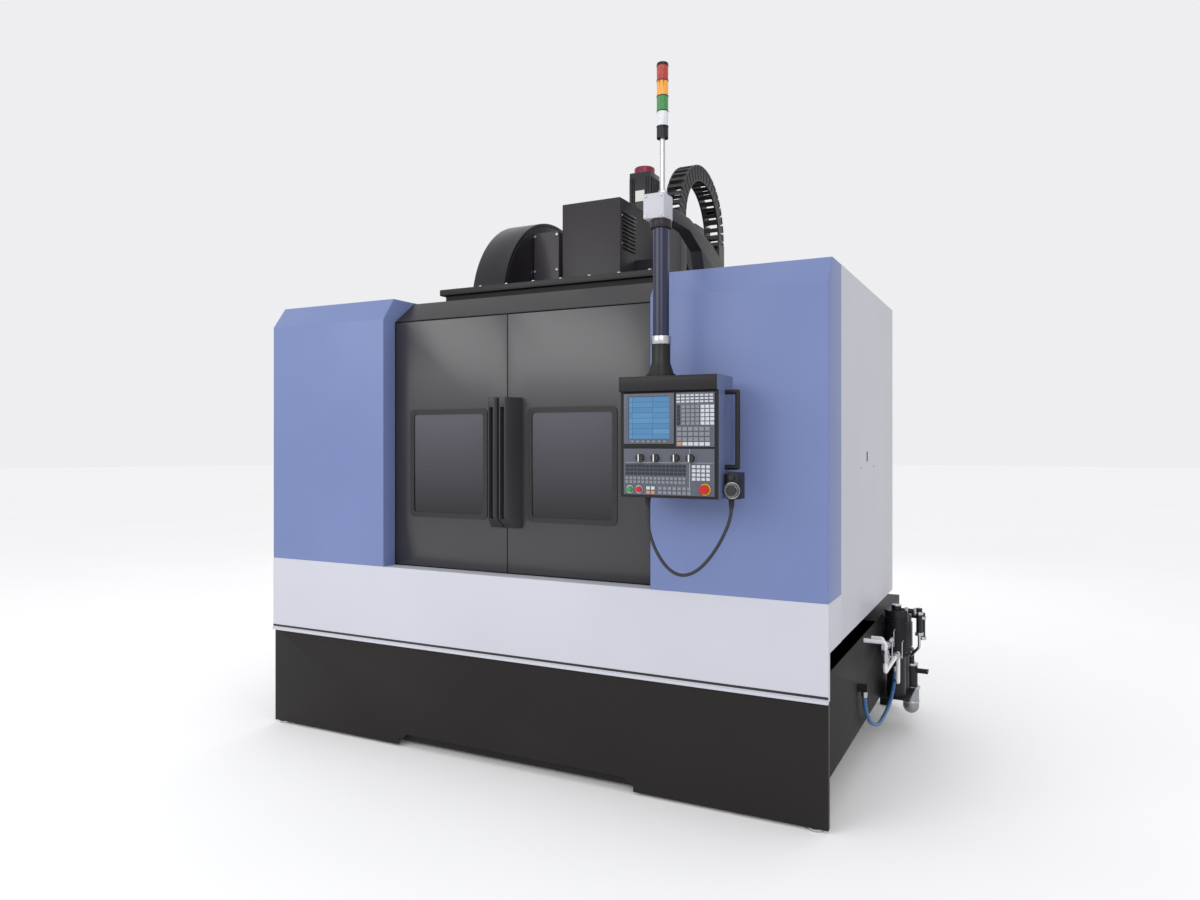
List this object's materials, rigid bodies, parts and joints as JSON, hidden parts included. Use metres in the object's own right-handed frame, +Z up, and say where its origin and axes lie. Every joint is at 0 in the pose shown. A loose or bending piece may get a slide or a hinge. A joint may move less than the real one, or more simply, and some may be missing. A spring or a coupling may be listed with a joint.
{
  "type": "cnc machining center",
  "caption": "Large enclosed vertical CNC machining centre with sliding doors, moving table, spindle head, drum tool magazine and a swivelling operator pendant.",
  "frame": {"origin": "middle of the machine's footprint, on the floor", "axes": "+X is the operator's right along the front, +Y runs to the rear, +Z is up"},
  "size_m": [3.444, 2.5822, 3.425],
  "materials": {
    "blue_paint": "satin",
    "white_paint": "satin",
    "side_paint": "satin",
    "dark_paint": "satin",
    "black_paint": "satin",
    "grey_paint": "satin",
    "cast_iron": "rough",
    "ground_steel": "ground",
    "stainless_sheet": "brushed",
    "black_plastic": "moulded",
    "grey_plastic": "moulded",
    "red_plastic": "moulded",
    "green_plastic": "moulded",
    "amber_plastic": "moulded",
    "laminated_glass": "gloss",
    "hose_rubber": "matte",
    "cord_rubber": "matte",
    "handle_paint": "satin"
  },
  "bodies": {
    "root": {"base_casting": "cast_iron", "levelling_feet": "ground_steel", "way_rails": "ground_steel", "column": "cast_iron", "servo_motors": "black_paint", "inner_guards": "stainless_sheet", "front_apron": "white_paint", "lower_skirts": "black_paint", "left_cover": "blue_paint", "right_cover": "blue_paint", "side_and_rear_panels": "side_paint", "header": "dark_paint", "roof": "black_paint", "magazine_frame": "cast_iron", "magazine_cover": "dark_paint", "cam_box": "grey_paint", "electrical_cabinet": "grey_paint", "coolant_tank": "black_paint", "coolant_pumps": "black_paint", "coolant_hose": "hose_rubber", "pendant_arm": "black_paint", "stack_light": "amber_plastic"},
    "left_door": {"left_door": "dark_paint", "left_window": "laminated_glass", "left_handle": "handle_paint"},
    "right_door": {"right_door": "dark_paint", "right_window": "laminated_glass", "right_handle": "handle_paint"},
    "saddle": {"saddle": "cast_iron", "saddle_fittings": "stainless_sheet"},
    "cover_stage_1": {"way_cover_stage_1": "stainless_sheet"},
    "cover_stage_2": {"way_cover_stage_2": "stainless_sheet"},
    "table": {"table": "cast_iron"},
    "x_screw": {"x_screw": "ground_steel"},
    "y_screw": {"y_screw": "ground_steel"},
    "z_screw": {"z_screw": "ground_steel"},
    "spindle_head": {"head_casting": "cast_iron", "spindle_drive": "black_paint", "head_cover": "dark_paint"},
    "spindle": {"spindle": "ground_steel"},
    "cable_carrier": {"cable_carrier": "black_plastic"},
    "tool_disc": {"tool_disc": "grey_paint"},
    "change_pot": {"change_pot": "black_plastic"},
    "arm_shaft": {"arm_shaft": "ground_steel"},
    "change_arm": {"change_arm": "ground_steel"},
    "cabinet_door": {"cabinet_door": "grey_paint"},
    "breaker_knob": {"breaker_knob": "red_plastic"},
    "pendant": {"pendant_housing": "black_plastic", "pendant_panels": "grey_plastic", "handwheel_unit": "black_plastic", "handwheel_cord": "cord_rubber"},
    "mode_knob": {"mode_knob": "black_plastic"},
    "feed_knob": {"feed_knob": "black_plastic"},
    "rapid_knob": {"rapid_knob": "black_plastic"},
    "spindle_knob": {"spindle_knob": "black_plastic"},
    "emergency_stop": {"emergency_stop": "red_plastic"},
    "start_button": {"start_button": "green_plastic"},
    "hold_button": {"hold_button": "amber_plastic"},
    "handwheel": {"handwheel": "black_plastic"},
    "axis_knob": {"axis_knob": "black_plastic"}
  },
  "joints": [
    {"name": "left_door_slide", "type": "slide", "parent": "root", "child": "left_door", "axis": [-1, 0, 0], "range_m": [0, 0.64]},
    {"name": "right_door_slide", "type": "slide", "parent": "root", "child": "right_door", "axis": [1, 0, 0], "range_m": [0, 0.7]},
    {"name": "saddle_travel", "type": "slide", "parent": "root", "child": "saddle", "axis": [0, 1, 0], "range_m": [-0.32, 0.32]},
    {"name": "cover_stage_1_follow", "type": "slide", "parent": "root", "child": "cover_stage_1", "axis": [0, 1, 0], "range_m": [-0.10677, 0.10677]},
    {"name": "cover_stage_2_follow", "type": "slide", "parent": "root", "child": "cover_stage_2", "axis": [0, 1, 0], "range_m": [-0.21343, 0.21343]},
    {"name": "table_travel", "type": "slide", "parent": "saddle", "child": "table", "axis": [1, 0, 0], "range_m": [-0.635, 0.635]},
    {"name": "head_travel", "type": "slide", "parent": "root", "child": "spindle_head", "axis": [0, 0, -1], "range_m": [0, 0.67]},
    {"name": "carrier_follow", "type": "slide", "parent": "root", "child": "cable_carrier", "axis": [0, 0, -1], "range_m": [0, 0.3351]},
    {"name": "x_screw_turn", "type": "hinge", "parent": "saddle", "child": "x_screw", "pos_m": [-0.014, -0.02315, 0.815], "axis": [1, 0, 0], "range_deg": [-14293, 14293]},
    {"name": "y_screw_turn", "type": "hinge", "parent": "root", "child": "y_screw", "pos_m": [-0.014, -0.02315, 0.655], "axis": [0, 1, 0], "range_deg": [-7206, 7206]},
    {"name": "z_screw_turn", "type": "hinge", "parent": "root", "child": "z_screw", "pos_m": [-0.014, 0.57685, 1.3], "axis": [0, 0, -1], "range_deg": [0, 15081]},
    {"name": "spindle_spin", "type": "hinge", "parent": "spindle_head", "child": "spindle", "pos_m": [-0.014, -0.02315, 1.9], "axis": [0, 0, 1], "continuous": true},
    {"name": "tool_disc_turn", "type": "hinge", "parent": "root", "child": "tool_disc", "pos_m": [-0.496, 0.13685, 2.397], "axis": [1, 0, 0], "continuous": true},
    {"name": "change_pot_swing", "type": "hinge", "parent": "tool_disc", "child": "change_pot", "pos_m": [-0.531, 0.13685, 1.937], "axis": [0, -1, 0], "range_deg": [0, 90]},
    {"name": "arm_lift", "type": "slide", "parent": "root", "child": "arm_shaft", "axis": [0, 0, 1], "range_m": [0, 0.115]},
    {"name": "arm_swing", "type": "hinge", "parent": "arm_shaft", "child": "change_arm", "pos_m": [-0.3025, 0.05685, 1.7725], "axis": [0, 0, 1], "range_deg": [0, 180]},
    {"name": "cabinet_door_hinge", "type": "hinge", "parent": "root", "child": "cabinet_door", "pos_m": [-1.634, 1.27015, 1.195], "axis": [0, 0, 1], "range_deg": [0, 110]},
    {"name": "breaker_turn", "type": "hinge", "parent": "root", "child": "breaker_knob", "pos_m": [-0.836, 1.24585, 1.5], "axis": [0, 1, 0], "range_deg": [0, 90]},
    {"name": "pendant_swivel", "type": "hinge", "parent": "root", "child": "pendant", "pos_m": [0.842, -1.17315, 2], "axis": [0, 0, 1], "range_deg": [-90, 15]},
    {"name": "mode_knob_turn", "type": "hinge", "parent": "pendant", "child": "mode_knob", "pos_m": [0.788, -1.26915, 1.565], "axis": [0, 1, 0], "range_deg": [-60, 60]},
    {"name": "feed_knob_turn", "type": "hinge", "parent": "pendant", "child": "feed_knob", "pos_m": [0.857, -1.26915, 1.565], "axis": [0, 1, 0], "range_deg": [-135, 135]},
    {"name": "rapid_knob_turn", "type": "hinge", "parent": "pendant", "child": "rapid_knob", "pos_m": [0.947, -1.26915, 1.565], "axis": [0, 1, 0], "range_deg": [-45, 45]},
    {"name": "spindle_knob_turn", "type": "hinge", "parent": "pendant", "child": "spindle_knob", "pos_m": [1.013, -1.26915, 1.565], "axis": [0, 1, 0], "range_deg": [-90, 90]},
    {"name": "emergency_stop_press", "type": "slide", "parent": "pendant", "child": "emergency_stop", "axis": [0, 1, 0], "range_m": [0, 0.005]},
    {"name": "start_button_press", "type": "slide", "parent": "pendant", "child": "start_button", "axis": [0, 1, 0], "range_m": [0, 0.004], "stiffness_N_per_m": 600},
    {"name": "hold_button_press", "type": "slide", "parent": "pendant", "child": "hold_button", "axis": [0, 1, 0], "range_m": [0, 0.004], "stiffness_N_per_m": 600},
    {"name": "handwheel_turn", "type": "hinge", "parent": "pendant", "child": "handwheel", "pos_m": [1.171, -1.21715, 1.434], "axis": [0, 1, 0], "continuous": true},
    {"name": "axis_knob_turn", "type": "hinge", "parent": "pendant", "child": "axis_knob", "pos_m": [1.171, -1.21715, 1.488], "axis": [0, 1, 0], "range_deg": [-60, 60]}
  ],
  "couplings": [
    {"joint": "cover_stage_1_follow", "follows": "saddle_travel", "ratio": 0.33333},
    {"joint": "cover_stage_2_follow", "follows": "saddle_travel", "ratio": 0.66667},
    {"joint": "carrier_follow", "follows": "head_travel", "ratio": 0.5},
    {"joint": "x_screw_turn", "follows": "table_travel", "rad_per_m": 392.7},
    {"joint": "y_screw_turn", "follows": "saddle_travel", "rad_per_m": 392.7},
    {"joint": "z_screw_turn", "follows": "head_travel", "rad_per_m": 392.7}
  ]
}
